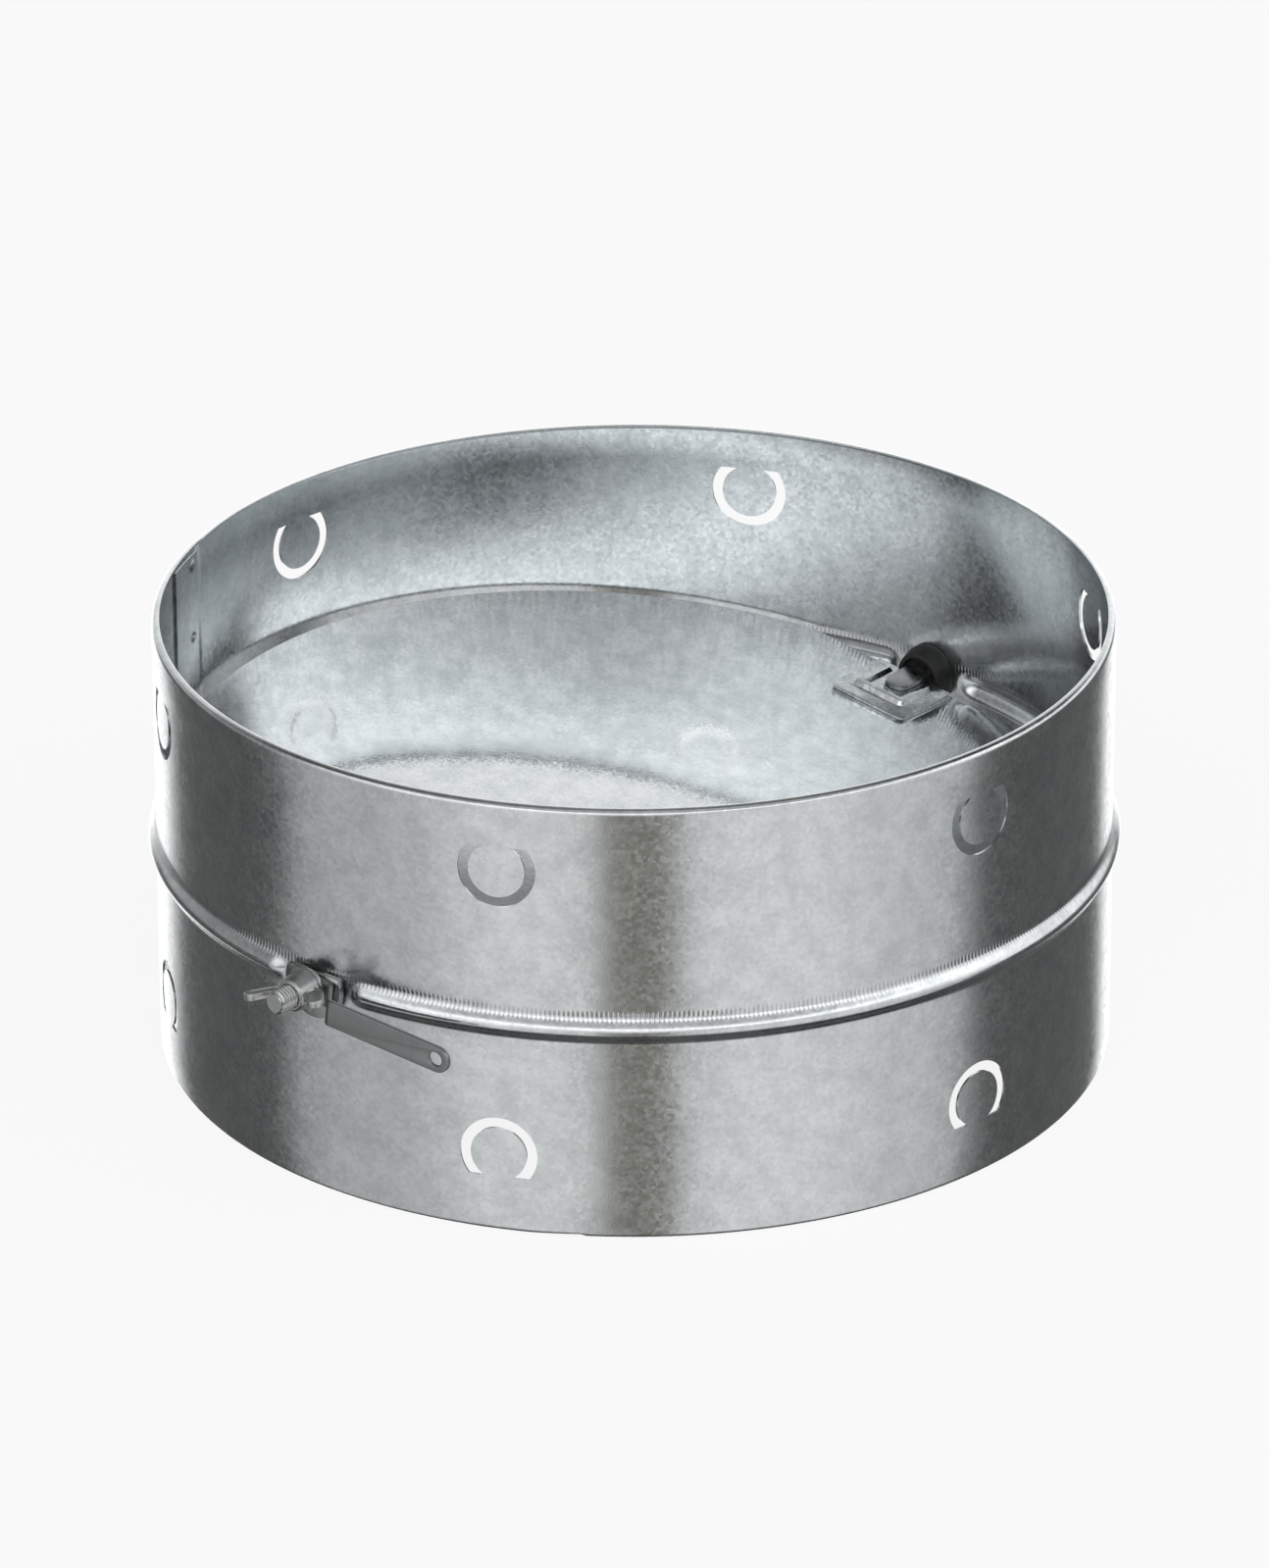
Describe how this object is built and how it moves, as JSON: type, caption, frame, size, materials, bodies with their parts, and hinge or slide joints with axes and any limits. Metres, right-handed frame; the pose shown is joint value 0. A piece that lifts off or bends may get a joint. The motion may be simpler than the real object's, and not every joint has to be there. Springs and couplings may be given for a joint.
{
  "type": "volume control damper",
  "caption": "Round duct damper: a beaded sheet sleeve with lanced tabs around a flat blade on two stub shafts, set by a cranked lever and locked by a wing nut.",
  "frame": {"origin": "centre of the sleeve's lower rim, on the duct axis", "axes": "+Z along the duct axis towards the upper rim; the drive shaft leaves along -Y, and +X is the side the lever points to"},
  "size_m": [0.3192, 0.3406, 0.15],
  "materials": {
    "galvanised_steel": "hot-dip galvanised, fine mottled spangle",
    "galvanised_blade": "smooth galvanised sheet, glossy",
    "zinc_plated_steel": "bright zinc plate",
    "black_bush": "moulded, fine matt"
  },
  "bodies": {
    "casing": {"casing": "galvanised_steel", "drive_bush": "black_bush", "idle_bush": "black_bush", "drive_wall_washer": "zinc_plated_steel", "idle_wall_washer": "zinc_plated_steel"},
    "blade": {"blade": "galvanised_blade", "drive_clip": "galvanised_steel", "idle_clip": "galvanised_steel", "drive_shaft": "zinc_plated_steel", "idle_shaft": "zinc_plated_steel", "push_ring": "zinc_plated_steel", "lever": "zinc_plated_steel"},
    "nut_washer": {"nut_washer": "zinc_plated_steel"},
    "wing_nut": {"wing_nut": "zinc_plated_steel"}
  },
  "joints": [
    {"name": "blade_swing", "type": "hinge", "parent": "casing", "child": "blade", "pos_m": [0, 0, 0.0737], "axis": [0, 1, 0], "range_deg": [-8, 82]},
    {"name": "washer_slide", "type": "slide", "parent": "blade", "child": "nut_washer", "axis": [0, -1, 0], "range_m": [0, 0.002]},
    {"name": "nut_turn", "type": "hinge", "parent": "nut_washer", "child": "wing_nut", "pos_m": [0, -0.16265, 0.0737], "axis": [0, -1, 0], "range_deg": [0, 540]}
  ],
  "couplings": [
    {"joint": "washer_slide", "follows": "nut_turn", "m_per_rad": 0.00019894}
  ]
}
